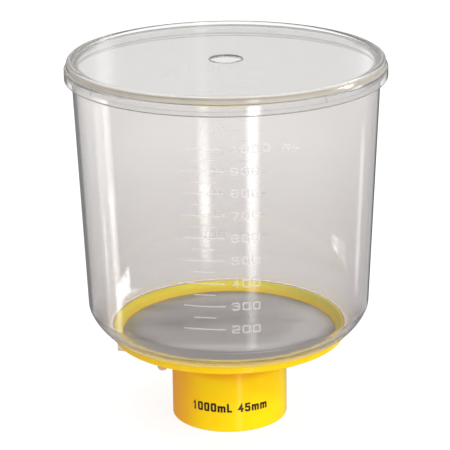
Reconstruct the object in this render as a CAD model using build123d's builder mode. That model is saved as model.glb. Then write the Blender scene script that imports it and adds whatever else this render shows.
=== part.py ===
"""Bottle-top vacuum filter, 1000 mL: a clear funnel and lid on a yellow dish with a threaded collar.

Millimetres, +Z up. The origin is the centre of the collar's foot. The front, where the scale is, faces -Y,
and the vacuum port points along -X. Every turned profile is drawn in the XZ plane as (radius, height).
"""

import math
import os

from build123d import *

os.makedirs("parts", exist_ok=True)

# ------------------------------------------------------------------------------------- driving dimensions
# Collar, for a bottle neck with a 45 mm thread
neck_bore_r = 22.75         # root of the collar's thread
collar_wall = 1.4
collar_h = 33.6             # foot to the underside of the dish's floor, at the collar
foot_round = 0.6
neck_bore_l = 22.0          # depth of the threaded bore

# Gasket ring
gasket_t = 2.0
gasket_w = 5.6
gasket_step = 0.5           # threaded bore down to the gasket's smaller recess, in radius
gasket_fit = 0.3            # radial clearance in that recess
gasket_sink = 0.2           # step up to the gasket's face

# Vacuum chamber and filtrate spout, inside the collar
seat_w = 5.25               # threaded bore to the vacuum chamber, in radius
seat_wall = 1.5
pocket_rib_t = 1.2
pocket_rib_count = 12
spout_bore_r = 5.0
spout_wall = 1.6
spout_lift = 0.5            # threaded bore's end up to the spout's tip
rib_root = 0.3              # how deep ribs and bosses are rooted in what carries them

# Dish and membrane
membrane_r = 44.5
membrane_t = 0.2
membrane_fit = 0.4          # radial clearance of the disc in its recess
seat_ledge_w = 1.5          # ledge under the membrane's edge
recess_depth = 0.4
bevel_w = 2.3               # sloped inner wall of the dish, its width and height
bevel_h = 3.6
dish_wall = 0.95
ledge_w = 0.45              # step that the funnel's lip stands on
ledge_drop = 1.65           # dish's top down to that step
plate_rim_h = 3.35          # outer edge of the plate
plate_rim_w = 2.4           # flat underside of the plate's rim
plate_round = 0.7
floor_t = 1.5
floor_depth = 0.75          # membrane's seat down to the floor at its edge
floor_fall = 1.2            # fall of the floor from its edge to the spout
support_rib_t = 0.9
support_rib_count = 24
support_rib_gap = 2.0       # spout to the long ribs, and chamber wall to the short ones
gusset_t = 1.2
gusset_count = 8
gusset_drop = 3.6           # height of a gusset at the collar
gusset_foot = 2.5           # its level foot, beside the collar
gusset_tip = 0.4            # its height at the outer end

# Vacuum port and hose connector, along -X
port_drop = 3.6             # floor's underside down to the port's axis
socket_wall = 1.5
socket_l = 12.35            # how far the socket stands out of the collar
socket_depth = 10.0
duct_r = 1.5
duct_wall = 1.3
connector_r = 3.0
connector_bore_r = 1.5
connector_fit = 0.05        # radial clearance in the socket
connector_flange_r = 3.9
connector_flange_t = 1.2
hose_neck_r = 2.3
hose_neck_l = 1.4
barb_r = 2.9
barb_tip_r = 2.5
barb_l = 3.9
barb_count = 2
tip_round = 0.4
port_filter_l = 8.0
port_filter_fit = 0.05      # radial clearance in the connector
port_filter_inset = 1.0     # from the connector's inner end

# Vent plug, under the dish
vent_angle = -132.2         # around Z, from +X
vent_inset = 4.0            # membrane's edge to the plug's axis
vent_hole_r = 1.25
vent_fit = 0.05             # radial clearance of the shank
vent_head_r = 2.05
vent_head_l = 3.7
vent_round = 1.8            # rounded end of the head
vent_pad_w = 0.35           # flat pad around the head
vent_pad_t = 0.8
vent_shank_l = 1.5

# Funnel
lip_t = 1.75
lip_h = 1.85
lip_fit = 0.1               # radial gap of the lip around the dish
bowl_edge_w = 1.05          # flat top of the lip, inside the bowl
wall = 1.5
draft = 2.35                # degrees a side
corner_w = 8.3              # bowl's lower corner: from the lip out to the straight wall
corner_h = 10.65            # and from the lip's foot up to it
corner_bulge = 1.0          # how far that corner arches out of its chord
corner_round = 6.0          # where that corner meets the straight wall
rim_h = 111.45              # lip's foot up to the funnel's top
flange_w = 1.55
flange_t = 2.4
flange_round = 0.4

# Lid
skirt_fit = 0.35            # radial clearance around the flange
skirt_wall = 1.05
skirt_drop = 4.05           # funnel's top down to the skirt's edge
lid_rest_gap = 0.1          # funnel's top up to the lid's seat
panel_rise = 1.3            # lid's seat up to the panel's underside
panel_t = 1.0
bead_w = 2.6
bead_drop = 1.4             # panel's top down to the bead's foot
shoulder_w = 1.0            # bead's foot out to the skirt
lid_hole_r = 6.7
lid_rib_count = 4
lid_rib_angle = 36.0
lid_rib_w = 0.8
lid_rib_h = 2.1
lid_rib_fit = 0.15          # radial clearance around the flange

# ------------------------------------------------------------------------------------- derived dimensions
collar_r = neck_bore_r + collar_wall
chamber_r = neck_bore_r - seat_w
seat_wall_r = chamber_r + seat_wall
spout_r = spout_bore_r + spout_wall
gasket_recess_r = neck_bore_r - gasket_step
gasket_r = gasket_recess_r - gasket_fit
gasket_seat_z = neck_bore_l + gasket_sink + gasket_t
spout_end_z = neck_bore_l + spout_lift

floor_centre_z = collar_h + floor_t
floor_edge_z = floor_centre_z + floor_fall
membrane_seat_z = floor_edge_z + floor_depth
recess_r = membrane_r + membrane_fit
floor_edge_r = membrane_r - seat_ledge_w
recess_top_z = membrane_seat_z + recess_depth
dish_in_r = recess_r + bevel_w
dish_top_z = recess_top_z + bevel_h
dish_r = dish_in_r + dish_wall
plate_r = dish_r + ledge_w
ledge_z = dish_top_z - ledge_drop
plate_z = ledge_z - plate_rim_h
plate_step_r = plate_r - plate_rim_w
underside_edge_r = floor_edge_r + floor_t
underside_edge_z = floor_edge_z - floor_t

port_z = collar_h - port_drop
port_plane = Plane((0, 0, port_z), x_dir=(0, 1, 0), z_dir=(-1, 0, 0))
socket_end = collar_r + socket_l
socket_bore_r = connector_r + connector_fit
connector_root = socket_end - socket_depth
barbs_start = socket_end + connector_flange_t + hose_neck_l

vent_r = membrane_r - vent_inset
vent_x = vent_r * math.cos(math.radians(vent_angle))
vent_y = vent_r * math.sin(math.radians(vent_angle))
vent_pad_r = vent_head_r + vent_pad_w
underside_slope = (underside_edge_z - collar_h) / (underside_edge_r - collar_r)
vent_pad_z = collar_h + underside_slope * (vent_r - vent_pad_r - collar_r)

lip_in_r = dish_r + lip_fit
lip_r = lip_in_r + lip_t
bowl_foot_r = lip_in_r + bowl_edge_w
bowl_foot_z = ledge_z + lip_h
wall_foot_z = ledge_z + corner_h
rim_top_z = ledge_z + rim_h
flange_z = rim_top_z - flange_t
wall_slope = math.tan(math.radians(draft))
wall_foot_r = lip_r + corner_w
rim_wall_r = wall_foot_r + wall_slope * (flange_z - wall_foot_z)
flange_r = rim_wall_r + flange_w
mouth_r = rim_wall_r + wall_slope * flange_t - wall

skirt_in_r = flange_r + skirt_fit
skirt_r = skirt_in_r + skirt_wall
skirt_z = rim_top_z - skirt_drop
lid_seat_z = rim_top_z + lid_rest_gap
panel_z = lid_seat_z + panel_rise
panel_top_z = panel_z + panel_t
bead_r = skirt_r - shoulder_w
bead_in_r = bead_r - bead_w
bead_foot_z = panel_top_z - bead_drop
lid_rib_in_r = flange_r + lid_rib_fit
lid_rib_l = skirt_in_r - lid_rib_in_r + rib_root


def corner(sketch, r, z):
    """The profile's corner at radius r and height z."""
    return sketch.vertices().sort_by_distance((r, z))[0]


def arch(start, end, rise):
    """An arc from start to end that stands out by rise, on the left of the way it runs."""
    dr, dz = end[0] - start[0], end[1] - start[1]
    chord = math.hypot(dr, dz)
    middle = ((start[0] + end[0]) / 2 - rise * dz / chord, (start[1] + end[1]) / 2 + rise * dr / chord)
    ThreePointArc(start, middle, end)


def port_cylinder(start, end, radius, mode=Mode.ADD):
    """A cylinder on the port's axis, from one distance to another along -X."""
    with BuildSketch(port_plane.offset(start)) as disc:
        Circle(radius)
    extrude(disc.sketch, amount=end - start, mode=mode)


# --------------------------------------------------------------------------------------------------- base
with BuildPart() as base:
    # Dish, plate, collar, gasket seat and spout, turned in one profile
    with BuildSketch(Plane.XZ) as base_profile:
        with BuildLine():
            Polyline(
                (spout_bore_r, spout_end_z),
                (spout_bore_r, floor_centre_z),
                (floor_edge_r, floor_edge_z),
                (floor_edge_r, membrane_seat_z),
                (recess_r, membrane_seat_z),
                (recess_r, recess_top_z),
                (dish_in_r, dish_top_z),
                (dish_r, dish_top_z),
                (dish_r, ledge_z),
                (plate_r, ledge_z),
                (plate_r, plate_z),
                (plate_step_r, plate_z),
                (underside_edge_r, underside_edge_z),
                (collar_r, collar_h),
                (collar_r, 0),
                (neck_bore_r, 0),
                (neck_bore_r, neck_bore_l),
                (gasket_recess_r, neck_bore_l),
                (gasket_recess_r, collar_h),
                (seat_wall_r, collar_h),
                (seat_wall_r, gasket_seat_z),
                (chamber_r, gasket_seat_z),
                (chamber_r, collar_h),
                (spout_r, collar_h),
                (spout_r, spout_end_z),
                close=True,
            )
        make_face()
        fillet(corner(base_profile, plate_r, plate_z), plate_round)
        fillet(corner(base_profile, collar_r, 0), foot_round)
    revolve(axis=Axis.Z)

    # Radial ribs in the dish, which carry the membrane: every other one starts further out
    rib_pitch = 360 / support_rib_count
    for start_r, turn in ((spout_r + support_rib_gap, 0.5), (seat_wall_r + support_rib_gap, 1.5)):
        rib_l = floor_edge_r + rib_root - start_r
        with BuildSketch(Plane.XY.offset(floor_centre_z - rib_root)):
            with PolarLocations(start_r + rib_l / 2, support_rib_count // 2, vent_angle + turn * rib_pitch):
                Rectangle(rib_l, support_rib_t)
        extrude(amount=membrane_seat_z - floor_centre_z + rib_root)

    # Ribs between the collar and the gasket's seat, with none across the duct
    pocket_w = gasket_recess_r - seat_wall_r
    with BuildSketch(Plane.XY.offset(gasket_seat_z)):
        with PolarLocations(seat_wall_r + pocket_w / 2, pocket_rib_count, 180 / pocket_rib_count):
            Rectangle(pocket_w + 2 * rib_root, pocket_rib_t)
    extrude(amount=collar_h + rib_root - gasket_seat_z)

    # Gussets that stiffen the plate from below, clear of the port and the vent
    for step in range(gusset_count):
        with BuildSketch(Plane.XZ.rotated((0, 0, (step + 0.5) * 360 / gusset_count))):
            with BuildLine():
                Polyline(
                    (collar_r - rib_root, collar_h + rib_root),
                    (collar_r - rib_root, collar_h - gusset_drop),
                    (collar_r + gusset_foot, collar_h - gusset_drop),
                    (underside_edge_r, underside_edge_z - gusset_tip),
                    (underside_edge_r, underside_edge_z + rib_root),
                    close=True,
                )
            make_face()
        extrude(amount=gusset_t / 2, both=True)

    # Socket for the hose connector, and the duct from it into the vacuum chamber
    port_cylinder(chamber_r + seat_wall / 2, collar_r, duct_r + duct_wall)
    port_cylinder(neck_bore_r + collar_wall / 2, socket_end, socket_bore_r + socket_wall)
    port_cylinder(chamber_r - rib_root, connector_root, duct_r, mode=Mode.SUBTRACT)
    port_cylinder(connector_root, socket_end, socket_bore_r, mode=Mode.SUBTRACT)

    # Flat pad and hole for the vent plug
    with BuildSketch(Plane.XY.offset(vent_pad_z)):
        with Locations((vent_x, vent_y)):
            Circle(vent_pad_r)
    extrude(amount=vent_pad_t)
    with BuildSketch(Plane.XY.offset(vent_pad_z)):
        with Locations((vent_x, vent_y)):
            Circle(vent_hole_r)
    extrude(amount=membrane_seat_z - vent_pad_z, mode=Mode.SUBTRACT)
base.part.label = "base"
export_step(base.part, "parts/base.step")


# -------------------------------------------------------------------------------------------- neck gasket
with BuildPart() as neck_gasket:
    with BuildSketch(Plane.XY.offset(gasket_seat_z - gasket_t)):
        Circle(gasket_r)
        Circle(gasket_r - gasket_w, mode=Mode.SUBTRACT)
    extrude(amount=gasket_t)
neck_gasket.part.label = "neck_gasket"
export_step(neck_gasket.part, "parts/neck_gasket.step")


# ----------------------------------------------------------------------------------------------- membrane
with BuildPart() as membrane:
    with BuildSketch(Plane.XY.offset(membrane_seat_z)):
        Circle(membrane_r)
    extrude(amount=membrane_t)
membrane.part.label = "membrane"
export_step(membrane.part, "parts/membrane.step")


# ------------------------------------------------------------------------------------------------- funnel
outer_knee = (wall_foot_r, wall_foot_z)
inner_knee = (wall_foot_r - wall, wall_foot_z)
with BuildPart() as funnel:
    with BuildSketch(Plane.XZ) as funnel_profile:
        with BuildLine():
            Polyline(
                (bowl_foot_r, bowl_foot_z),
                (lip_in_r, bowl_foot_z),
                (lip_in_r, ledge_z),
                (lip_r, ledge_z),
            )
            arch(outer_knee, (lip_r, ledge_z), corner_bulge)
            Polyline(
                outer_knee,
                (rim_wall_r, flange_z),
                (flange_r, flange_z),
                (flange_r, rim_top_z),
                (mouth_r, rim_top_z),
                inner_knee,
            )
            arch(inner_knee, (bowl_foot_r, bowl_foot_z), corner_bulge)
        make_face()
        fillet(corner(funnel_profile, *outer_knee), corner_round)
        fillet(corner(funnel_profile, *inner_knee), corner_round - wall)
        for edge_z in (flange_z, rim_top_z):
            fillet(corner(funnel_profile, flange_r, edge_z), flange_round)
    revolve(axis=Axis.Z)
funnel.part.label = "funnel"
export_step(funnel.part, "parts/funnel.step")


# ---------------------------------------------------------------------------------------------------- lid
with BuildPart() as lid:
    # Panel, bead and skirt in one profile
    with BuildSketch(Plane.XZ):
        with BuildLine():
            Polyline(
                (lid_hole_r, panel_z),
                (lid_hole_r, panel_top_z),
                (bead_in_r, panel_top_z),
            )
            arch((bead_in_r, panel_top_z), (bead_r, panel_top_z), bead_w / 2)
            Polyline(
                (bead_r, panel_top_z),
                (bead_r, bead_foot_z),
                (skirt_r, bead_foot_z - shoulder_w),
                (skirt_r, skirt_z),
                (skirt_in_r, skirt_z),
                (skirt_in_r, lid_seat_z),
                (bead_in_r - panel_rise / 2, lid_seat_z),
                (bead_in_r - 3 * panel_rise / 2, panel_z),
                (lid_hole_r, panel_z),
            )
        make_face()
    revolve(axis=Axis.Z)

    # Locating ribs inside the skirt
    with BuildSketch(Plane.XY.offset(lid_seat_z - lid_rib_h)):
        with PolarLocations(lid_rib_in_r + lid_rib_l / 2, lid_rib_count, lid_rib_angle):
            Rectangle(lid_rib_l, lid_rib_w)
    extrude(amount=lid_rib_h + rib_root)
lid.part.label = "lid"
export_step(lid.part, "parts/lid.step")


# ----------------------------------------------------------------------------------------- hose connector
with BuildPart() as hose_connector:
    port_cylinder(connector_root, socket_end, connector_r)
    port_cylinder(socket_end, socket_end + connector_flange_t, connector_flange_r)
    port_cylinder(socket_end, barbs_start, hose_neck_r)
    for barb in range(barb_count):
        with BuildSketch(port_plane.offset(barbs_start + barb * barb_l)):
            Circle(barb_r)
        extrude(amount=barb_l, taper=math.degrees(math.atan((barb_r - barb_tip_r) / barb_l)))
    fillet(hose_connector.faces().sort_by(Axis.X)[0].edges(), tip_round)
    port_cylinder(connector_root, barbs_start + barb_count * barb_l, connector_bore_r, mode=Mode.SUBTRACT)
hose_connector.part.label = "hose_connector"
export_step(hose_connector.part, "parts/hose_connector.step")


# -------------------------------------------------------------------------------------------- port filter
with BuildPart() as port_filter:
    filter_start = connector_root + port_filter_inset
    port_cylinder(filter_start, filter_start + port_filter_l, connector_bore_r - port_filter_fit)
port_filter.part.label = "port_filter"
export_step(port_filter.part, "parts/port_filter.step")


# ---------------------------------------------------------------------------------------------- vent plug
with BuildPart() as vent_plug:
    with BuildSketch(Plane.XY.offset(vent_pad_z - vent_head_l)):
        with Locations((vent_x, vent_y)):
            Circle(vent_head_r)
    extrude(amount=vent_head_l)
    fillet(vent_plug.faces().sort_by(Axis.Z)[0].edges(), vent_round)
    with BuildSketch(Plane.XY.offset(vent_pad_z)):
        with Locations((vent_x, vent_y)):
            Circle(vent_hole_r - vent_fit)
    extrude(amount=vent_shank_l)
vent_plug.part.label = "vent_plug"
export_step(vent_plug.part, "parts/vent_plug.step")
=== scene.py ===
"""Looks of the bottle-top vacuum filter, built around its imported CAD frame.

Blender units are metres, +Z up, in the frame of the CAD. mm() turns the millimetres written here into
metres. The front, where the scale is, faces -Y, and the vacuum port points along -X. Turned profiles are
lists of (radius, height) in millimetres. An azimuth is the angle around Z from the front, to the right.
"""

import math

import bmesh
import bpy
from mathutils import Euler, Matrix, Vector


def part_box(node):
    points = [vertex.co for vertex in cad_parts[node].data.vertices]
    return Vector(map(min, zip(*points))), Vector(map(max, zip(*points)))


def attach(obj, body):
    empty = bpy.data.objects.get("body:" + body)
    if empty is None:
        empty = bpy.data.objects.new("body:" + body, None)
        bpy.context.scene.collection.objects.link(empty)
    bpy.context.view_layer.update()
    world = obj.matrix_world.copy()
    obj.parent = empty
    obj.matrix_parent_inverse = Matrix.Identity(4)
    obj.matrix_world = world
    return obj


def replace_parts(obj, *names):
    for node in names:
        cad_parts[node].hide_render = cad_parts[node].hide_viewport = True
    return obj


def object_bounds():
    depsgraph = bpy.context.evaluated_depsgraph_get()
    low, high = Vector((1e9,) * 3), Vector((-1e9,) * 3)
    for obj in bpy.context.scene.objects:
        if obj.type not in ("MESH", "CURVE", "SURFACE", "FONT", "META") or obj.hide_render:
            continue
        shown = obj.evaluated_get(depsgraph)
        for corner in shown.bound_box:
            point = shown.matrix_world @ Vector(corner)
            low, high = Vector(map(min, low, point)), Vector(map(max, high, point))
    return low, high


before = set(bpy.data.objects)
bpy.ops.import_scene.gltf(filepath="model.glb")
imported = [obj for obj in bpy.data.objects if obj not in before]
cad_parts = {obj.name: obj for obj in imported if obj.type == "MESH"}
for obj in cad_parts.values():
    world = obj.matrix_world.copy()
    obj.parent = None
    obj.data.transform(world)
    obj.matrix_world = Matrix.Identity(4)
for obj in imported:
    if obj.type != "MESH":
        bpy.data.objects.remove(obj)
cad_low, cad_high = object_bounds()

# ------------------------------------------------------------------------------------------- dimensions
UNIT = "filter_unit"
SEGMENTS = 288              # around each turned piece
MM3_PER_ML = 1000


def mm(value):
    """Millimetres to metres."""
    return value * 0.001


def reach(node):
    """(largest radius, lowest height, highest height), in millimetres, of a CAD node round about Z."""
    low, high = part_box(node)
    return high.x * 1000, low.z * 1000, high.z * 1000


flange_r, lip_z, rim_z = reach("funnel")
skirt_r, skirt_z, lid_top_z = reach("lid")
dish_z = reach("base")[2]               # top of the dish's wall
membrane_z = reach("membrane")[1]       # underside of the membrane

# Funnel
wall = 1.5
draft = math.tan(math.radians(2.35))
lip_in_r = 48.1             # welded to the dish's wall, so it reaches just into it
lip_r = 50.0
bowl_foot_r = 49.3
bowl_foot_z = lip_z + 1.85
plate_z = lip_z - 3.35      # underside of the plate's rim
corner_w = 8.3
corner_h = 10.65
corner_bulge = 1.0
corner_round = 6.0
corner_steps = 12           # along each of its arcs
flange_w = 1.55
flange_t = 2.4
flange_round = 0.4
flange_foot_round = 0.3
bowl_foot_round = 0.15
foot_r = lip_r + corner_w
foot_z = lip_z + corner_h
rim_wall_r = flange_r - flange_w
flange_z = rim_z - flange_t

# Lid
skirt_wall = 1.05
shoulder_w = 1.0
shoulder_round = 0.4
bead_w = 2.6
bead_drop = 1.4
crown_h = bead_w / 2 - 0.001            # just under a half circle
crown_steps = 16
panel_t = 1.0
panel_rise = 1.3
lid_hole_r = 6.7
lid_hole_round = 0.2
hole_rim_w = 0.12           # raised rim around the hole
hole_rim_h = 0.25
hole_rim_slope = 0.2
lid_rib_angle = 36.0
lid_rib_count = 4
lid_rib_w = 0.8
lid_rib_h = 2.1
lid_rib_gap = 0.15          # between a rib and the funnel's flange
lid_rib_bite = 0.02         # how far a rib reaches into the skirt and the panel
edge_round = 0.25
panel_top_z = lid_top_z - bead_w / 2
panel_z = panel_top_z - panel_t
lid_seat_z = panel_z - panel_rise
bead_r = skirt_r - shoulder_w
skirt_in_r = skirt_r - skirt_wall

# Collar and its thread
collar_r = 24.15
neck_bore_r = 22.75
thread_pitch = 4.0
thread_depth = 1.3
thread_root_w = 2.2
thread_crest_w = 0.9
thread_edge_drop = 0.25     # bevel along the crest: its depth, and where it ends, out and in from the edge
thread_edge_out = 0.12
thread_edge_in = 0.15
thread_bite = 0.1           # how far the ridge reaches into the wall
thread_steps = 96           # a turn
thread_start_z = 4.2
thread_turns = 3.25
thread_fade = 40.0          # degrees over which the ridge rises from the wall

# Print on the collar
print_text = "1000mL 45mm"
print_z = 8.9
print_h = 3.9
print_w = 2.4
print_gap = 0.55
print_stroke = 0.86
print_proud = 0.04

# Scale, moulded on the front wall and again on the back one
scale_first = 200           # mL
scale_last = 1000
scale_step = 50
scale_major = 100           # mL from one number to the next
scale_first_z = lip_z + 19.95
marks_bright_z = scale_first_z + 24     # above this the marks have the bright wall behind them
major_tick = (-17.3, -1.5)  # from the wall's middle line, as seen from outside
minor_tick = (-13.3, -5.1)
tick_w = 0.5
tick_steps = 8
mark_proud = 0.22
digit_h = 3.4
digit_w = 3.1
digit_pitch = 4.1
digit_left = 1.2
digit_stroke = 0.62

# Section of a raised mark or a printed stroke
ridge_lift = 0.01           # of its edges, off the surface
ridge_side = 0.45           # height of its sides, of the whole height
ridge_top = 0.55            # width of its top, of the whole width
ridge_mitre = 0.5           # least cosine that a turn's mitre is worked out for, so that none runs far out


def wall_r(z):
    """Outer radius of the funnel's wall at height z."""
    return foot_r + draft * (z - foot_z)


def scale_z(volume):
    """Height of the graduation for that many millilitres, in a bowl whose inner radius grows with draft."""
    first_r = wall_r(scale_first_z) - wall
    r = (first_r ** 3 + 3 * draft * (volume - scale_first) * MM3_PER_ML / math.pi) ** (1 / 3)
    return scale_first_z + (r - first_r) / draft


# ------------------------------------------------------------------------------------------ mesh helpers
def make_object(name, verts, faces, material, body=UNIT, sharp=35.0):
    """A mesh object with verts in metres, smooth but for edges sharper than that angle, riding on a body."""
    mesh = bpy.data.meshes.new(name)
    mesh.from_pydata(verts, [], faces)
    clean = bmesh.new()
    clean.from_mesh(mesh)
    bmesh.ops.recalc_face_normals(clean, faces=clean.faces)
    clean.to_mesh(mesh)
    clean.free()
    mesh.shade_smooth()
    mesh.set_sharp_from_angle(angle=math.radians(sharp))
    mesh.materials.append(material)
    obj = bpy.data.objects.new(name, mesh)
    bpy.context.scene.collection.objects.link(obj)
    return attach(obj, body)


def bulged(start, end, rise, steps):
    """Points from start to end on an arc that stands out by rise on the left of the way it runs."""
    (r0, z0), (r1, z1) = start, end
    dr, dz = r1 - r0, z1 - z0
    half = math.hypot(dr, dz) / 2
    radius = (half ** 2 + rise ** 2) / (2 * rise)
    turn = math.asin(half / radius)
    points = []
    for step in range(steps + 1):
        angle = turn * (2 * step / steps - 1)
        along = radius * math.sin(angle) / half
        out = (radius * math.cos(angle) - radius + rise) / half
        r = r0 + dr / 2 * (1 + along) - dz / 2 * out
        z = z0 + dz / 2 * (1 + along) + dr / 2 * out
        points.append((r, z))
    return points


def rounded(points, radii, steps=5):
    """The closed outline with an arc of radii[corner] in place of each corner named there, by its point."""
    result = []
    for i, point in enumerate(points):
        radius = radii.get(point)
        if not radius:
            result.append(point)
            continue
        here = Vector(point)
        back = (Vector(points[i - 1]) - here).normalized()
        ahead = (Vector(points[(i + 1) % len(points)]) - here).normalized()
        half = back.angle(ahead) / 2
        centre = here + (back + ahead).normalized() * (radius / math.sin(half))
        start = here + back * (radius / math.tan(half)) - centre
        sweep = math.pi - 2 * half
        side = 1 if back.x * ahead.y - back.y * ahead.x < 0 else -1
        for step in range(steps + 1):
            spoke = Matrix.Rotation(side * sweep * step / steps, 2) @ start
            result.append(tuple(centre + spoke))
    return result


def held(outline, margin=0.35, longest=10.0):
    """The closed outline with points added close to each end of its long edges, so that these shade flat."""
    result = []
    for i, point in enumerate(outline):
        here, ahead = Vector(point), Vector(outline[(i + 1) % len(outline)])
        length = (ahead - here).length
        result.append(point)
        if length < 3 * margin:
            continue
        runs = max(1, round((length - 2 * margin) / longest))
        for run in range(runs + 1):
            along = margin + (length - 2 * margin) * run / runs
            result.append(tuple(here.lerp(ahead, along / length)))
    return result


def lathe(outline):
    """(verts, faces) of a closed outline in millimetres turned about Z."""
    verts, faces = [], []
    outline = held(outline)
    count = len(outline)
    for turn in range(SEGMENTS):
        angle = 2 * math.pi * turn / SEGMENTS
        cos, sin = mm(math.cos(angle)), mm(math.sin(angle))
        verts += [(r * cos, r * sin, mm(z)) for r, z in outline]
        for i in range(count):
            here, ahead = turn * count, (turn + 1) % SEGMENTS * count
            faces.append((here + i, ahead + i, ahead + (i + 1) % count, here + (i + 1) % count))
    return verts, faces


def on_round(across, z, out, r, turn=0.0):
    """A point, in metres, out from a surface of radius r and across from its middle, seen from outside."""
    angle = across / r + turn
    return mm(r + out) * math.sin(angle), -mm(r + out) * math.cos(angle), mm(z)


def on_front(across, z, out):
    """A point of the funnel's front wall."""
    return on_round(across, z, out, wall_r(z))


def on_back(across, z, out):
    """A point of the funnel's back wall."""
    return on_round(across, z, out, wall_r(z), math.pi)


def on_collar(across, z, out):
    """A point of the collar's front."""
    return on_round(across, z, out, collar_r)


# ------------------------------------------------------------------------------------------ node helpers
class Nodes:
    """A node tree with short calls for what the materials here need."""

    def __init__(self, tree):
        self.tree = tree
        tree.nodes.clear()

    def add(self, kind, inputs=(), **settings):
        """A node of that kind with its settings, and its inputs from sockets, or set to values."""
        node = self.tree.nodes.new("ShaderNode" + kind)
        for key, value in settings.items():
            setattr(node, key, value)
        for key, value in dict(inputs).items():
            if isinstance(value, bpy.types.NodeSocket):
                self.tree.links.new(value, node.inputs[key])
            else:
                node.inputs[key].default_value = value
        return node

    def math(self, operation, a, b=0.0, clamp=False):
        """One number from two."""
        return self.add("Math", {0: a, 1: b}, operation=operation, use_clamp=clamp).outputs[0]

    def product(self, *values):
        """The product of two numbers or more."""
        result = values[0]
        for value in values[1:]:
            result = self.math("MULTIPLY", result, value)
        return result

    def total(self, a, b, clamp=False):
        """The sum of two numbers."""
        return self.math("ADD", a, b, clamp=clamp)

    def parts(self, vector):
        """The three numbers of a vector."""
        return tuple(self.add("SeparateXYZ", {0: vector}).outputs)

    def scaled(self, vector, scale):
        """The vector times one scale an axis."""
        return self.add("VectorMath", {0: vector, 1: scale}, operation="MULTIPLY").outputs[0]

    def noise(self, vector, detail=2.0, roughness=0.5, distortion=0.0):
        """Noise of unit scale, from 0 to 1."""
        inputs = {"Vector": vector, "Scale": 1.0, "Detail": detail, "Roughness": roughness}
        inputs["Distortion"] = distortion
        return self.add("TexNoise", inputs).outputs["Fac"]

    def spread(self, value, low, high, to_low=0.0, to_high=1.0, smooth=False):
        """value from low..high mapped to to_low..to_high, held at the ends."""
        inputs = {"Value": value, "From Min": low, "From Max": high, "To Min": to_low, "To Max": to_high}
        kind = "SMOOTHSTEP" if smooth else "LINEAR"
        return self.add("MapRange", inputs, interpolation_type=kind).outputs[0]

    def blend(self, factor, a, b):
        """Colour a where factor is 0 and b where it is 1."""
        node = self.add("Mix", {0: factor}, data_type="RGBA")
        for socket, colour in ((node.inputs[6], a), (node.inputs[7], b)):
            if isinstance(colour, bpy.types.NodeSocket):
                self.tree.links.new(colour, socket)
            else:
                socket.default_value = (*colour, 1.0)
        return node.outputs[2]

    def step(self, value, edge, falling=False, soft=0.15):
        """1 where value is above the edge, or below it if falling, with a soft edge."""
        ends = (1.0, 0.0) if falling else (0.0, 1.0)
        return self.spread(value, edge - soft, edge + soft, *ends, smooth=True)

    def bump(self, height, distance):
        """A normal from a height of 0 to 1 that stands for that many millimetres."""
        return self.add("Bump", {"Height": height, "Distance": mm(distance)}).outputs[0]

    def bounced(self):
        """(1 if the ray was mirrored and never scattered, 1 if it was scattered), else 0."""
        path = self.add("LightPath").outputs
        scattered = self.math("GREATER_THAN", path["Diffuse Depth"], 0.5)
        mirrored = self.math("GREATER_THAN", path["Glossy Depth"], 0.5)
        return self.product(mirrored, self.math("SUBTRACT", 1.0, scattered)), scattered

    def grey(self, level):
        """A colour of that level in each channel."""
        return self.add("CombineColor", {0: level, 1: level, 2: level}).outputs[0]

    def show(self, shader):
        """Makes that shader the tree's output."""
        for node in [n for n in self.tree.nodes if n.bl_idname == "ShaderNodeOutputMaterial"]:
            self.tree.nodes.remove(node)
        self.add("OutputMaterial", {"Surface": shader})

    def place(self):
        """Where a point is, in millimetres."""
        return self.scaled(self.add("TexCoord").outputs["Object"], (1000.0, 1000.0, 1000.0))

    def azimuth(self, x, y):
        """The angle around Z from the front, in radians."""
        return self.math("ARCTAN2", x, self.product(y, -1.0))

    def unrolled(self, radius):
        """(distance around Z at that radius, height, radius) in millimetres."""
        x, y, z = self.parts(self.place())
        around = self.product(self.azimuth(x, y), radius)
        out = self.math("SQRT", self.total(self.product(x, x), self.product(y, y)))
        return self.add("CombineXYZ", {0: around, 1: z, 2: out}).outputs[0]


def new_material(name):
    """(material, its Nodes, its Principled node)."""
    material = bpy.data.materials.new(name)
    material.use_nodes = True
    nodes = Nodes(material.node_tree)
    shader = nodes.add("BsdfPrincipled")
    nodes.show(shader.outputs[0])
    return material, nodes, shader


def settle(nodes, shader, **inputs):
    """Sets a shader's inputs by name, with _ for a space."""
    for key, value in inputs.items():
        socket = shader.inputs[key.replace("_", " ")]
        if isinstance(value, bpy.types.NodeSocket):
            nodes.tree.links.new(value, socket)
        elif isinstance(value, tuple):
            socket.default_value = (*value, 1.0)
        else:
            socket.default_value = value


# --------------------------------------------------------------------------------------------- materials
WIDE = (0.3, 0.7)           # where nearly all of a noise's values lie
MIDDLE = (0.35, 0.65)       # where most of them lie
POLYSTYRENE_IOR = 1.59
back_y = (15.0, 45.0)       # Y over which the looks of the front turn into those of the back


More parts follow.
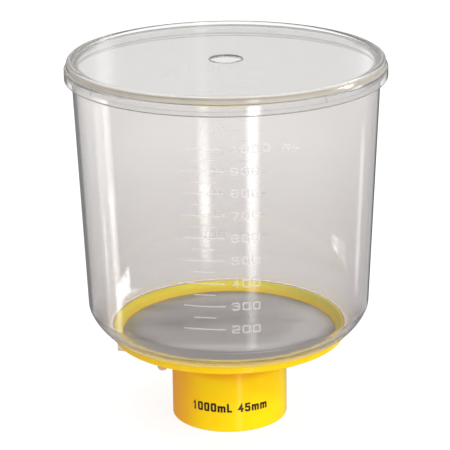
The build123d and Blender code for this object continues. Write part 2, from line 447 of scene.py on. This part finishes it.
def clear_plastic(name, foot_tint, top_tint, back_shade_tint, rings, ripple):
    """Clear moulded polystyrene with the faint ripple of the mould's draw, its tint deepened toward the foot
    as painted shade.

    Each of the rings is (radii, heights, tint, share, fade): within those radii and heights the plastic has
    that tint and scatters that share of the light. Both fall off toward the back, along the Y of fade.
    """
    material, nodes, shader = new_material(name)
    skin = nodes.unrolled(60.0)
    _, height, out = nodes.parts(skin)
    tint = nodes.blend(nodes.spread(height, lip_z, rim_z), foot_tint, top_tint)
    drawn = nodes.noise(nodes.scaled(skin, (0.16, 0.035, 0.1)), detail=3.0, distortion=0.4)
    fine = nodes.noise(nodes.scaled(skin, (0.9, 0.5, 0.9)), detail=2.0)
    relief = nodes.total(drawn, nodes.product(fine, 0.12))
    rough = nodes.spread(fine, *WIDE, 0.005, 0.019)
    back = nodes.parts(nodes.place())[1]
    cloud = nodes.spread(drawn, *WIDE, 0.015, 0.025)

    # Painted shade: the upper part has its own tint at the back, darker on the wall
    raised = nodes.spread(height, rim_z - 48.0, rim_z - 30.0)
    tint = nodes.blend(nodes.product(nodes.spread(back, *back_y), raised), tint, back_shade_tint)

    for (low_r, high_r), (low_z, high_z), ring_tint, share, fade in rings:
        across = nodes.product(nodes.step(out, low_r), nodes.step(out, high_r, falling=True))
        along = nodes.product(nodes.step(height, low_z), nodes.step(height, high_z, falling=True))
        ring = nodes.product(across, along)
        if fade:
            ring = nodes.product(ring, nodes.spread(back, *fade, 1.0, 0.08))
        tint = nodes.blend(ring, tint, ring_tint)
        cover = nodes.product(ring, nodes.spread(drawn, *WIDE, 0.85 * share, share))
        cloud = nodes.math("MAXIMUM", cloud, cover)
    settle(nodes, shader, Base_Color=tint, Roughness=rough, IOR=POLYSTYRENE_IOR)
    settle(nodes, shader, Transmission_Weight=nodes.math("SUBTRACT", 1.0, cloud))
    settle(nodes, shader, Normal=nodes.bump(relief, ripple))

    # It casts almost no shadow
    shadow = nodes.add("LightPath").outputs["Is Shadow Ray"]
    passed = nodes.add("BsdfTransparent", {"Color": (0.95, 0.95, 0.95, 1.0)}).outputs[0]
    nodes.show(nodes.add("MixShader", {0: shadow, 1: shader.outputs[0], 2: passed}).outputs[0])
    return material


def milky_plastic():
    """Natural polystyrene of the port's small parts, clear with a milky haze."""
    material, nodes, shader = new_material("milky_plastic")
    grain = nodes.noise(nodes.scaled(nodes.place(), (0.8, 0.8, 0.8)), detail=3.0)
    colour = nodes.blend(nodes.spread(grain, *MIDDLE), (0.93, 0.91, 0.90), (0.97, 0.96, 0.96))
    settle(nodes, shader, Base_Color=colour, Roughness=nodes.spread(grain, *WIDE, 0.06, 0.12), IOR=1.5)
    settle(nodes, shader, Transmission_Weight=nodes.spread(grain, *WIDE, 0.62, 0.76))
    settle(nodes, shader, Normal=nodes.bump(grain, 0.02))
    return material


def frosted_plastic(name, foot_tint, top_tint, alpha, top_alpha):
    """Raised moulded marks: a satin skin that part of what is behind it shows through."""
    material, nodes, shader = new_material(name)
    place = nodes.place()
    grain = nodes.noise(nodes.scaled(place, (3.0, 3.0, 3.0)), detail=3.0)
    # Painted shade: below marks_bright_z the marks are darker and warmer
    higher = nodes.step(nodes.parts(place)[2], marks_bright_z, soft=5.0)
    shade = nodes.spread(grain, *MIDDLE, 0.94, 1.0)
    colour = nodes.blend(higher, foot_tint, top_tint)
    colour = nodes.add("VectorMath", {0: colour, "Scale": shade}, operation="SCALE").outputs[0]
    settle(nodes, shader, Base_Color=colour, Roughness=nodes.spread(grain, *WIDE, 0.25, 0.4))
    settle(nodes, shader, Alpha=nodes.spread(higher, 0.0, 1.0, alpha, top_alpha))
    settle(nodes, shader, Normal=nodes.bump(grain, 0.01))
    return material


def yellow_plastic():
    """Glossy yellow polystyrene, with painted lemon light in the dish and painted orange shade under the
    plate.
    """
    material, nodes, shader = new_material("yellow_plastic")
    place = nodes.place()
    flow = nodes.noise(nodes.scaled(place, (0.05, 0.05, 0.09)), detail=4.0, distortion=0.8)
    grain = nodes.noise(nodes.scaled(place, (2.2, 2.2, 2.2)), detail=3.0)
    x, _, z = nodes.parts(place)
    skin = nodes.unrolled(40.0)
    out = nodes.parts(skin)[2]
    glints = nodes.noise(nodes.scaled(skin, (0.035, 0.4, 0.25)), detail=2.0, distortion=0.3)
    colour = nodes.blend(nodes.spread(flow, *MIDDLE), (0.96, 0.62, 0.001), (0.98, 0.68, 0.002))

    # Painted shade, deeper orange, under the plate and on the left of the collar
    leftward = nodes.spread(x, -24.0, -9.0, 1.0, 0.0, smooth=True)
    under = nodes.spread(z, plate_z - 14.0, plate_z - 10.0, 0.0, 0.9, smooth=True)
    shade = nodes.product(nodes.math("MAXIMUM", leftward, under), nodes.step(z, plate_z - 0.2, falling=True))
    colour = nodes.blend(shade, colour, (0.95, 0.42, 0.003))

    # Painted shade: a darker yellow on the plate's rim, most on the left
    rim = nodes.product(nodes.step(z, plate_z), nodes.step(out, lip_in_r))
    rim = nodes.product(rim, nodes.spread(x, -45.0, -20.0, 1.0, 0.75))
    colour = nodes.blend(rim, colour, (0.86, 0.55, 0.003))

    # Painted light and shade inside the dish: lemon, olive toward the right, mottled glints, and deeper
    # yellow low down
    lemon = nodes.blend(nodes.spread(x, 5.0, 38.0), (1.0, 0.86, 0.06), (0.74, 0.66, 0.08))
    lemon = nodes.blend(nodes.spread(glints, *MIDDLE, 0.0, 0.6), lemon, (0.80, 0.64, 0.03))
    lemon = nodes.blend(nodes.spread(z, dish_z - 2.6, dish_z - 1.4, 0.85, 0.0), lemon, (0.94, 0.66, 0.02))
    inside = nodes.product(nodes.step(z, membrane_z + 0.3), nodes.step(out, lip_in_r - 0.4, falling=True))
    colour = nodes.blend(inside, colour, lemon)

    # What the clear walls mirror of it is dull
    mirrored = nodes.product(nodes.bounced()[0], 0.7)
    colour = nodes.blend(mirrored, colour, (0.36, 0.34, 0.30))

    height = nodes.total(nodes.product(flow, 3.0), grain)
    rough = nodes.total(nodes.spread(grain, *WIDE, 0.13, 0.22), nodes.product(leftward, 0.25))
    settle(nodes, shader, Base_Color=colour, Roughness=rough)
    settle(nodes, shader, Normal=nodes.bump(height, 0.006), Subsurface_Weight=0.12)
    settle(nodes, shader, Subsurface_Scale=mm(1.2), IOR=1.54, Specular_IOR_Level=0.28)
    shader.inputs["Subsurface Radius"].default_value = (1.0, 0.55, 0.05)
    return material


def membrane_sheet():
    """Porous white membrane, painted grey for the funnel's shade, with painted bands of light from its slight
    dishing.
    """
    material, nodes, shader = new_material("porous_membrane")
    place = nodes.place()
    pores = nodes.noise(nodes.scaled(place, (5.0, 5.0, 5.0)), detail=4.0, roughness=0.7)
    sway = nodes.noise(nodes.scaled(place, (0.02, 0.03, 0.05)), detail=2.0)
    streak = nodes.noise(nodes.scaled(place, (0.012, 0.06, 0.05)), detail=1.5, distortion=0.5)
    x, y, _ = nodes.parts(place)

    # Painted light and shade: a pale band around a point behind the middle, with a dark one outside it, paler
    # streaks and a lighter right side
    across, along = nodes.product(x, 0.8), nodes.math("SUBTRACT", y, 6.0)
    squares = nodes.total(nodes.product(across, across), nodes.product(along, along))
    out = nodes.total(nodes.math("SQRT", squares), nodes.spread(sway, *WIDE, -3.0, 3.0))
    light = nodes.product(nodes.step(out, 24.0, soft=6.0), nodes.step(out, 32.5, falling=True, soft=4.0))
    light = nodes.product(light, nodes.spread(x, -30.0, 30.0, 0.15, 0.6))
    light = nodes.product(light, nodes.spread(y, 0.0, 25.0, 1.0, 0.2))
    shade = nodes.total(nodes.spread(streak, *WIDE, 0.1, 0.6), light)
    shade = nodes.total(shade, nodes.spread(x, -45.0, 45.0, -0.15, 0.3))
    shade = nodes.math("SUBTRACT", shade, nodes.product(nodes.step(out, 35.5, soft=4.0), 0.8))
    shade = nodes.total(shade, nodes.spread(pores, *WIDE, -0.06, 0.06), clamp=True)
    colour = nodes.blend(shade, (0.27, 0.257, 0.252), (0.62, 0.61, 0.61))

    # Painted reflection: the dish's yellow, thrown back on its edge
    edge = nodes.parts(nodes.unrolled(40.0))[2]
    yellow_bounce = nodes.product(nodes.spread(edge, 37.0, 45.0, 0.0, 0.55), nodes.spread(x, -25.0, 0.0, 1.0, 0.35))
    yellow_bounce = nodes.product(yellow_bounce, nodes.spread(streak, 0.35, 0.6, 0.3, 1.0))
    colour = nodes.blend(yellow_bounce, colour, (0.58, 0.47, 0.14))
    settle(nodes, shader, Base_Color=colour, Roughness=nodes.spread(pores, *WIDE, 0.34, 0.46))
    settle(nodes, shader, Normal=nodes.bump(nodes.total(streak, pores), 0.012), IOR=1.45)
    return material


def silicone():
    """Matte off-white silicone rubber."""
    material, nodes, shader = new_material("silicone")
    grain = nodes.noise(nodes.scaled(nodes.place(), (1.6, 1.6, 1.6)), detail=4.0)
    colour = nodes.blend(grain, (0.74, 0.74, 0.71), (0.84, 0.84, 0.81))
    settle(nodes, shader, Base_Color=colour, Roughness=nodes.spread(grain, *WIDE, 0.5, 0.62))
    settle(nodes, shader, Normal=nodes.bump(grain, 0.02))
    return material


def cotton_fibre():
    """White wadding of fine fibres."""
    material, nodes, shader = new_material("fibre")
    strands = nodes.noise(nodes.scaled(nodes.place(), (2.0, 9.0, 9.0)), detail=5.0, distortion=1.5)
    colour = nodes.blend(nodes.spread(strands, *MIDDLE), (0.70, 0.70, 0.68), (0.90, 0.90, 0.88))
    settle(nodes, shader, Base_Color=colour, Roughness=0.9, Normal=nodes.bump(strands, 0.12))
    return material


def black_ink():
    """Brown-black print with a worn, slightly uneven cover."""
    material, nodes, shader = new_material("black_ink")
    cover = nodes.noise(nodes.scaled(nodes.place(), (1.4, 1.4, 1.4)), detail=4.0)
    colour = nodes.blend(nodes.spread(cover, 0.4, 0.7), (0.012, 0.006, 0.003), (0.03, 0.017, 0.008))
    settle(nodes, shader, Base_Color=colour, Roughness=nodes.spread(cover, *WIDE, 0.3, 0.45))
    settle(nodes, shader, Normal=nodes.bump(cover, 0.01))
    return material


def near(value, below, above):
    """The two ends of a stretch around a value."""
    return value - below, value + above


# Rings of the funnel, all hazier than its wall: the bowl's foot, the lip and the flange's two edges
haze_z = lip_z - 1.0
haze_fade = (-34.0, -14.0)
wall_rings = (
    (near(bowl_foot_r, 0.8, 0.3), near(bowl_foot_z, 0.2, 0.25), (1.0, 0.90, 0.84), 0.9, None),
    # The lip's two rings are painted yellow light from the dish behind it, fading toward the back
    ((lip_in_r + 0.3, foot_r - 2.0), (haze_z, lip_z + 3.3), (0.92, 0.76, 0.20), 0.38, haze_fade),
    ((lip_in_r + 0.3, foot_r - 3.0), (haze_z, lip_z + 1.9), (0.99, 0.76, 0.05), 0.7, haze_fade),
    ((rim_wall_r, flange_r + 1), near(flange_z, 0.3, 0.3), (0.62, 0.59, 0.57), 0.25, None),
    ((rim_wall_r, flange_r + 1), near(rim_z, 0.3, 0.3), (0.60, 0.57, 0.55), 0.3, None),
)
# Rings of the lid: the bead, with a painted tan shade along its front, and the dark edge at the skirt's foot
bead_foot_z = panel_top_z - bead_drop - 0.3
bead_middle_r = bead_r - bead_w / 2
lid_rings = (
    ((bead_middle_r + 1.0, skirt_r), (bead_foot_z, lid_top_z + 1), (0.50, 0.455, 0.375), 0.62, back_y),
    ((skirt_in_r - 1, skirt_r + 1), near(skirt_z, 0.3, 0.35), (0.34, 0.31, 0.30), 0.4, None),
)
# The wall's foot and back tints are painted shade, darker than its top
wall_foot_shade, wall_top, wall_back_shade = (0.730, 0.703, 0.691), (0.948, 0.930, 0.922), (0.80, 0.79, 0.78)
lid_tint = (0.935, 0.932, 0.925)
wall_plastic = clear_plastic("clear_wall", wall_foot_shade, wall_top, wall_back_shade, wall_rings, ripple=0.012)
lid_plastic = clear_plastic("clear_lid", lid_tint, lid_tint, lid_tint, lid_rings, ripple=0.008)
port_plastic = milky_plastic()
# Painted light: the back marks are paler than the front ones, which are the same moulded marks
front_mark_plastic = frosted_plastic("marks_front", (0.70, 0.66, 0.61), (0.735, 0.72, 0.71), 0.33, 0.27)
back_mark_plastic = frosted_plastic("marks_back", (0.90, 0.88, 0.85), (0.93, 0.91, 0.89), 0.12, 0.12)
yellow = yellow_plastic()
membrane_white = membrane_sheet()
gasket_silicone = silicone()
fibre = cotton_fibre()
ink = black_ink()


# ------------------------------------------------------------------------------------------------ pieces
def make_funnel():
    """The clear bowl: lip around the dish, arched corner, tapering wall and rim flange."""
    outer = bulged((foot_r, foot_z), (lip_r, lip_z), corner_bulge, corner_steps)
    inner = bulged((foot_r - wall, foot_z), (bowl_foot_r, bowl_foot_z), corner_bulge, corner_steps)
    flange = [(rim_wall_r, flange_z), (flange_r, flange_z), (flange_r, rim_z)]
    mouth = (wall_r(rim_z) - wall, rim_z)
    outline = [*reversed(outer), *flange, mouth, *inner, (lip_in_r, bowl_foot_z), (lip_in_r, lip_z)]
    radii = {
        outer[0]: corner_round,
        inner[0]: corner_round - wall,
        flange[0]: flange_foot_round,
        flange[1]: flange_round,
        flange[2]: flange_round,
        mouth: edge_round,
        inner[-1]: bowl_foot_round,
    }
    funnel = make_object("funnel_shell", *lathe(rounded(outline, radii)), wall_plastic)
    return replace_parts(funnel, "funnel")


# Faces of a box whose corners run through its radii, its sides and its heights, in that order
BOX_FACES = ((0, 1, 3, 2), (4, 6, 7, 5), (0, 4, 5, 1), (2, 3, 7, 6), (0, 2, 6, 4), (1, 5, 7, 3))


def make_lid():
    """The clear lid: panel with a hole, round bead, shoulder, skirt and its four locating ribs."""
    bead_in_r = bead_r - bead_w
    crown = bulged((bead_in_r, panel_top_z), (bead_r, panel_top_z), crown_h, crown_steps)
    hole = (lid_hole_r, panel_z)
    hole_rim = ((lid_hole_r, panel_top_z + hole_rim_h), (lid_hole_r + hole_rim_w, panel_top_z + hole_rim_h))
    shoulder_z = panel_top_z - bead_drop
    shoulder = ((bead_r, shoulder_z), (skirt_r, shoulder_z - shoulder_w))
    outline = [
        hole,
        *hole_rim,
        (lid_hole_r + hole_rim_w + hole_rim_slope, panel_top_z),
        *crown,
        *shoulder,
        (skirt_r, skirt_z),
        (skirt_in_r, skirt_z),
        (skirt_in_r, lid_seat_z),
        (bead_in_r - panel_rise / 2, lid_seat_z),
        (bead_in_r - 3 * panel_rise / 2, panel_z),
    ]
    radii = {point: edge_round for point in outline if point not in crown[1:]}
    radii[hole] = lid_hole_round
    radii.update({point: hole_rim_w / 2 for point in hole_rim})
    radii.update({point: shoulder_round for point in shoulder})
    verts, faces = lathe(rounded(outline, radii))
    for rib in range(lid_rib_count):
        angle = math.radians(lid_rib_angle + rib * 360 / lid_rib_count)
        turn = Matrix.Rotation(angle, 3, "Z")
        start = len(verts)
        for r in (flange_r + lid_rib_gap, skirt_in_r + lid_rib_bite):
            for side in (-1, 1):
                for z in (lid_seat_z - lid_rib_h, lid_seat_z + lid_rib_bite):
                    verts.append(tuple(turn @ Vector((mm(r), mm(side * lid_rib_w / 2), mm(z)))))
        faces += [tuple(start + corner for corner in face) for face in BOX_FACES]
    lid = make_object("lid_shell", verts, faces, lid_plastic, body="lid")
    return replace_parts(lid, "lid")


def make_thread():
    """The ridge of the bottle thread inside the collar, rising out of the wall at each end."""
    steps = int(thread_turns * thread_steps)
    root_r = neck_bore_r + thread_bite
    count = 6
    verts, faces = [], []
    for step in range(steps + 1):
        degrees = 360 * thread_turns * step / steps
        end = min(degrees, 360 * thread_turns - degrees)
        rise = math.sin(math.pi / 2 * min(end / thread_fade, 1.0))
        angle = math.radians(degrees)
        z = thread_start_z + thread_pitch * degrees / 360
        crest_r = root_r - (thread_depth + thread_bite) * rise
        upper = [
            (crest_r, thread_crest_w / 2 - thread_edge_in),
            (crest_r + thread_edge_drop * rise, thread_crest_w / 2 + thread_edge_out),
            (root_r, thread_root_w / 2),
        ]
        lower = [(r, -dz) for r, dz in reversed(upper)]
        verts += [(mm(r) * math.cos(angle), mm(r) * math.sin(angle), mm(z + dz)) for r, dz in lower + upper]
        if step:
            here, before = step * count, (step - 1) * count
            for i in range(count):
                faces.append((before + i, before + (i + 1) % count, here + (i + 1) % count, here + i))
    faces += [tuple(range(count)), tuple(range(steps * count, (steps + 1) * count))]
    thread = make_object("collar_thread", verts, faces, yellow, sharp=50.0)
    return thread


# Strokes of each character, as runs of points in a box one wide and one high
STROKES = {
    "0": [
        [(0.12, 0), (0.88, 0), (1, 0.12), (1, 0.88), (0.88, 1), (0.12, 1), (0, 0.88), (0, 0.12), (0.12, 0)],
    ],
    "1": [[(0.3, 0.84), (0.6, 1), (0.6, 0)]],
    "2": [
        [(0, 0.9), (0.1, 1), (0.9, 1), (1, 0.9), (1, 0.56), (0.9, 0.46), (0.1, 0.4), (0, 0.3), (0, 0),
         (1, 0)],
    ],
    "3": [
        [(0, 0.86), (0.12, 1), (0.88, 1), (1, 0.88), (1, 0.62), (0.86, 0.52), (0.4, 0.52)],
        [(0.86, 0.52), (1, 0.4), (1, 0.12), (0.88, 0), (0.12, 0), (0, 0.14)],
    ],
    "4": [[(0.76, 0), (0.76, 1), (0, 0.3), (1, 0.3)]],
    "5": [
        [(0.96, 1), (0.04, 1), (0.02, 0.56), (0.86, 0.56), (1, 0.44), (1, 0.12), (0.88, 0), (0.12, 0),
         (0, 0.12)],
    ],
    "6": [
        [(0.98, 0.88), (0.86, 1), (0.14, 1), (0, 0.88), (0, 0.12), (0.12, 0), (0.88, 0), (1, 0.12),
         (1, 0.44)],
        [(1, 0.44), (0.88, 0.56), (0, 0.56)],
    ],
    "7": [[(0, 1), (1, 1), (0.98, 0.86), (0.38, 0)]],
    "8": [
        [(0.12, 0), (0.88, 0), (1, 0.12), (1, 0.42), (0.88, 0.53), (0.12, 0.53), (0, 0.42), (0, 0.12),
         (0.12, 0)],
        [(0.12, 0.53), (0, 0.64), (0, 0.88), (0.12, 1), (0.88, 1), (1, 0.88), (1, 0.64), (0.88, 0.53)],
    ],
    "9": [
        [(0.02, 0.12), (0.14, 0), (0.86, 0), (1, 0.12), (1, 0.88), (0.88, 1), (0.12, 1), (0, 0.88),
         (0, 0.56)],
        [(0, 0.56), (0.12, 0.44), (1, 0.44)],
    ],
    "m": [
        [(0, 0), (0, 0.66)],
        [(0, 0.6), (0.4, 0.66), (0.5, 0.55), (0.5, 0)],
        [(0.5, 0.6), (0.9, 0.66), (1, 0.55), (1, 0)],
    ],
    "L": [[(0, 1), (0, 0), (0.8, 0)]],
}
# Widths of the characters that aren't one wide in the print
PRINT_WIDTHS = {"1": 0.82, "m": 1.4, " ": 0.45}


def ridge(points, width, proud, place):
    """(verts, faces) of a low ridge along points (across, z) of the surface that place() gives."""
    half = width / 2
    section = [(-half, ridge_lift), (-half, proud * ridge_side), (-half * ridge_top, proud)]
    section += [(-across, out) for across, out in reversed(section)]
    count = len(section)
    path = [Vector(p) for p in points]
    closed = len(path) > 2 and (path[0] - path[-1]).length < 1e-6
    if closed:
        path.pop()
    verts, faces = [], []
    for i, here in enumerate(path):
        before = path[i - 1] if closed or i else here
        after = path[(i + 1) % len(path)] if closed or i + 1 < len(path) else here
        way_in = (here - before).normalized() if before != here else (after - here).normalized()
        way_out = (after - here).normalized() if after != here else way_in
        way = (way_in + way_out).normalized()
        side = Vector((-way.y, way.x)) / max(way.dot(way_in), ridge_mitre)
        cap = Vector((0, 0))
        if not closed and i in (0, len(path) - 1):
            cap = way * (half if i else -half)
        for across, out in section:
            at = here + cap + side * across
            verts.append(place(at.x, at.y, out))
    runs = len(path) if closed else len(path) - 1
    for i in range(runs):
        a, b = i * count, (i + 1) % len(path) * count
        for j in range(count):
            k = (j + 1) % count
            faces.append((a + j, b + j, b + k, a + k))
    if not closed:
        faces += [tuple(range(count)), tuple(range((len(path) - 1) * count, len(path) * count))]
    return verts, faces


def ridges(runs, proud, place):
    """(verts, faces) of a ridge along each of the runs, which are (points, width)."""
    verts, faces = [], []
    for points, width in runs:
        more_verts, more_faces = ridge(points, width, proud, place)
        faces += [tuple(v + len(verts) for v in face) for face in more_faces]
        verts += more_verts
    return verts, faces


def strokes(character, left, foot, width, height, stroke):
    """The runs of a character in a box that starts at left and foot, for ridges()."""
    left, foot = left + stroke / 2, foot + stroke / 2
    width, height = width - stroke, height - stroke
    runs = STROKES.get(character, [])
    return [([(left + x * width, foot + y * height) for x, y in run], stroke) for run in runs]


def make_scale(name, place, material):
    """The ticks and numbers moulded on the wall, from 200 to 1000 mL."""
    runs = []
    for volume in range(scale_first, scale_last + 1, scale_step):
        z = scale_z(volume)
        major = volume % scale_major == 0
        start, end = major_tick if major else minor_tick
        runs.append(([(start + (end - start) * i / tick_steps, z) for i in range(tick_steps + 1)], tick_w))
        if major:
            text = str(volume) + (" mL" if volume == scale_last else "")
            for i, character in enumerate(text):
                left = digit_left + i * digit_pitch
                runs += strokes(character, left, z - digit_h / 2, digit_w, digit_h, digit_stroke)
    verts, faces = ridges(runs, mark_proud, place)
    scale = make_object(name, verts, faces, material)
    return scale


def make_print():
    """The size mark printed in bold on the collar's front."""
    widths = [print_w * PRINT_WIDTHS.get(character, 1.0) for character in print_text]
    left = -(sum(widths) + print_gap * (len(widths) - 1)) / 2
    runs = []
    for character, width in zip(print_text, widths):
        runs += strokes(character, left, print_z, width, print_h, print_stroke)
        left += width + print_gap
    verts, faces = ridges(runs, print_proud, on_collar)
    return make_object("collar_print", verts, faces, ink)


def paint_nodes():
    """Gives the CAD nodes that stay their finish."""
    finishes = {
        "base": yellow,
        "membrane": membrane_white,
        "neck_gasket": gasket_silicone,
        "hose_connector": port_plastic,
        "vent_plug": port_plastic,
        "port_filter": fibre,
    }
    for node, material in finishes.items():
        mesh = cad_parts[node].data
        mesh.materials.clear()
        mesh.materials.append(material)


make_funnel()
make_lid()
make_thread()
make_scale("scale_front", on_front, front_mark_plastic)
make_scale("scale_back", on_back, back_mark_plastic)
make_print()
paint_nodes()


# ---------------------------------------------------------------------------------------- floor and light
floor_half = 3.0            # metres from its middle to its edge
floor_gap = 0.02            # under the collar
floor_white = (0.15, 0.15, 0.15, 1.0)
floor_glow_seen = 0.85      # its own light, as seen directly,
floor_glow_fill = 0.6       # and as it falls on the object

studio_top = 0.70           # brightness of what the object mirrors above the horizon,
studio_low = 0.6            # far below it,
studio_deep = 0.16          # at about 25 degrees below it,
studio_least = 0.04         # and at the darkest

camera_place = (0.0, -0.80608, 0.35264)
camera_down = 18.514        # degrees below the horizontal
camera_turn = 0.0816        # degrees to the left
camera_roll = -0.695        # degrees
camera_lens = 164.5


def make_floor():
    """A plain white floor. Rays that the object mirrors pass through it, to the dark of the studio."""
    material = bpy.data.materials.new("floor")
    material.use_nodes = True
    nodes = Nodes(material.node_tree)
    mirrored, scattered = nodes.bounced()
    white = nodes.add("BsdfDiffuse", {"Color": floor_white}).outputs[0]
    level = nodes.spread(scattered, 0.0, 1.0, floor_glow_seen, floor_glow_fill)
    glow = nodes.add("Emission", {"Color": (1.0, 1.0, 1.0, 1.0), "Strength": level}).outputs[0]
    lit = nodes.add("AddShader", {0: white, 1: glow}).outputs[0]
    gone = nodes.add("BsdfTransparent").outputs[0]
    nodes.show(nodes.add("MixShader", {0: mirrored, 1: lit, 2: gone}).outputs[0])
    z = cad_low.z - mm(floor_gap)
    corners = [(x * floor_half, y * floor_half, z) for x, y in ((-1, -1), (1, -1), (1, 1), (-1, 1))]
    mesh = bpy.data.meshes.new("floor")
    mesh.from_pydata(corners, [], [(0, 1, 2, 3)])
    mesh.materials.append(material)
    floor = bpy.data.objects.new("floor", mesh)
    bpy.context.scene.collection.objects.link(floor)


def softbox(nodes, azimuth, elevation, across, up, soft_across, soft_up):
    """A mask, 1 inside a patch of the studio: the ends of its two angles, and their softness, in degrees."""
    middle, half = (across[0] + across[1]) / 2, (across[1] - across[0]) / 2
    turned = nodes.math("SUBTRACT", azimuth, middle)
    wrapped = nodes.add("Math", {0: turned, 1: 180.0, 2: -180.0}, operation="WRAP").outputs[0]
    side = nodes.step(nodes.math("ABSOLUTE", wrapped), half, falling=True, soft=soft_across)
    above = nodes.step(elevation, up[0], soft=soft_up)
    below = nodes.step(elevation, up[1], falling=True, soft=soft_up)
    return nodes.product(side, nodes.product(above, below))


# Lights that the object mirrors: azimuths, elevations, brightness, and how softly they end across and up
STUDIO_LIGHTS = (
    ((15.2, 23.2), (-24.1, -11.2), 3.2, 3.0, 0.8),          # strip light on the right
    ((15.2, 23.2), (-50.0, 40.0), 0.9, 3.0, 4.0),           # its spill
    ((124.0, 130.0), (-22.2, -18.0), 0.8, 2.5, 0.7),        # gap of light on the far right
    ((120.0, 136.0), (32.0, 44.0), 7.0, 4.0, 3.0),          # softbox high on the right
    ((-176.75, -176.3), (8.0, 40.0), 0.26, 0.22, 3.0),      # narrow lights far behind
    ((175.7, 176.1), (8.0, 40.0), 0.3, 0.2, 3.0),
)
# Lights mirrored only inside or behind a clear wall, so that outer faces and the collar don't show them
INNER_LIGHTS = (
    ((-21.0, -14.0), (-24.0, -21.9), 5.8, 3.0, 0.5),        # short strip light on the left
    ((-21.0, -14.0), (-24.2, -20.2), 0.9, 3.0, 0.5),        # its spill
    ((16.0, 22.0), (-26.6, -24.0), 3.0, 2.5, 0.6),          # foot of the strip light on the right
    ((-119.0, -100.0), (-24.4, -17.2), 1.9, 4.0, 0.5),      # window on the far left
    ((-107.0, -99.0), (-21.0, -17.2), 2.2, 2.5, 0.8),       # its bright edge
    ((-106.0, -99.0), (-24.4, -20.4), 3.8, 2.5, 0.6),       # which is brighter lower down
    ((-116.5, -114.0), (-22.6, -20.6), 1.8, 1.2, 0.4),      # gleam beside that
    ((-104.0, -87.5), (-23.6, -23.0), 11.0, 1.6, 0.12),     # low window on the left
)
# Paler and darker sides of the studio, below the horizon: side, azimuth where it starts, softness, brightness
RIGHT, LEFT = 1, -1
STUDIO_SIDES = (
    (RIGHT, 120.0, 20.0, 0.42),
    (RIGHT, 161.0, 7.0, -0.50),
    (LEFT, 112.0, 14.0, 0.42),
    (LEFT, 150.0, 6.0, -0.36),
)


def make_world():
    """White all round for what is seen directly, and a dim studio with softboxes for what is mirrored."""
    world = bpy.data.worlds.new("studio")
    bpy.context.scene.world = world
    world.use_nodes = True
    nodes = Nodes(world.node_tree)
    x, y, z = nodes.parts(nodes.add("TexCoord").outputs["Generated"])
    azimuth = nodes.product(nodes.azimuth(x, y), math.degrees(1))
    elevation = nodes.product(nodes.math("ARCSINE", z), math.degrees(1))

    # What is mirrored: dim below the horizon and pale above it
    below = nodes.spread(elevation, -12.0, 6.0, 1.0, 0.0, smooth=True)
    deep = nodes.spread(elevation, -36.0, -25.0, studio_low, studio_deep)
    glow = nodes.spread(below, 0.0, 1.0, studio_top, deep)
    sides = nodes.product(below, nodes.step(elevation, -22.3, soft=0.8))
    turns = {RIGHT: azimuth, LEFT: nodes.product(azimuth, -1.0)}
    for way, edge, soft, power in STUDIO_SIDES:
        side = nodes.product(sides, nodes.step(turns[way], edge, soft=soft))
        glow = nodes.total(glow, nodes.product(side, power))
    inner = nodes.math("GREATER_THAN", nodes.add("LightPath").outputs["Transmission Depth"], 0.5)
    for lights, gate in ((STUDIO_LIGHTS, ()), (INNER_LIGHTS, (inner,))):
        for across, up, power, soft_across, soft_up in lights:
            patch = softbox(nodes, azimuth, elevation, across, up, soft_across, soft_up)
            glow = nodes.total(glow, nodes.product(patch, power, *gate))
    glow = nodes.math("MAXIMUM", glow, studio_least)

    # What lights the solid parts: less from the left, more from above
    fill = nodes.spread(x, -0.95, -0.25, 0.21, 1.14, smooth=True)
    fill = nodes.product(fill, nodes.spread(elevation, 10.0, 55.0, 1.0, 2.0, smooth=True))

    mirrored, scattered = nodes.bounced()
    level = nodes.total(nodes.math("SUBTRACT", 1.0, scattered), nodes.product(fill, scattered))
    colour = nodes.blend(mirrored, nodes.grey(level), nodes.grey(glow))
    nodes.add("OutputWorld", {"Surface": nodes.add("Background", {"Color": colour}).outputs[0]})


def make_lamp(name, azimuth, elevation, distance, size, power):
    """A soft area lamp that lights the object but isn't seen, aimed at its middle."""
    light = bpy.data.lights.new(name, "AREA")
    light.shape = "RECTANGLE"
    light.size, light.size_y = size
    light.energy = power
    lamp = bpy.data.objects.new(name, light)
    a, e = math.radians(azimuth), math.radians(elevation)
    aim = Vector((0, 0, (cad_low.z + cad_high.z) / 2))
    away = Vector((math.sin(a) * math.cos(e), -math.cos(a) * math.cos(e), math.sin(e)))
    lamp.location = aim + away * distance
    lamp.rotation_euler = away.to_track_quat("Z", "Y").to_euler()
    lamp.visible_camera = False
    lamp.visible_glossy = False
    lamp.visible_transmission = False
    bpy.context.scene.collection.objects.link(lamp)


def make_camera():
    """The view from the front, a little from above, with a long lens."""
    data = bpy.data.cameras.new("camera")
    data.sensor_width = 36.0
    data.lens = camera_lens
    data.clip_start = 0.05
    data.clip_end = 20.0
    camera = bpy.data.objects.new("camera", data)
    bpy.context.scene.collection.objects.link(camera)
    camera.location = camera_place
    turn = Matrix.Rotation(math.radians(camera_turn), 3, "Z")
    pitch = Euler((math.radians(90 - camera_down), 0, 0)).to_matrix()
    roll = Matrix.Rotation(math.radians(camera_roll), 3, "Z")
    camera.rotation_euler = (turn @ pitch @ roll).to_euler()
    bpy.context.scene.camera = camera


make_floor()
make_world()
make_lamp("key", azimuth=40.0, elevation=35.0, distance=1.2, size=(0.7, 0.7), power=6.0)
make_camera()

scene = bpy.context.scene
scene.view_settings.view_transform = "Standard"
scene.cycles.max_bounces = 24
scene.cycles.transmission_bounces = 24
scene.cycles.glossy_bounces = 8
scene.cycles.transparent_max_bounces = 16
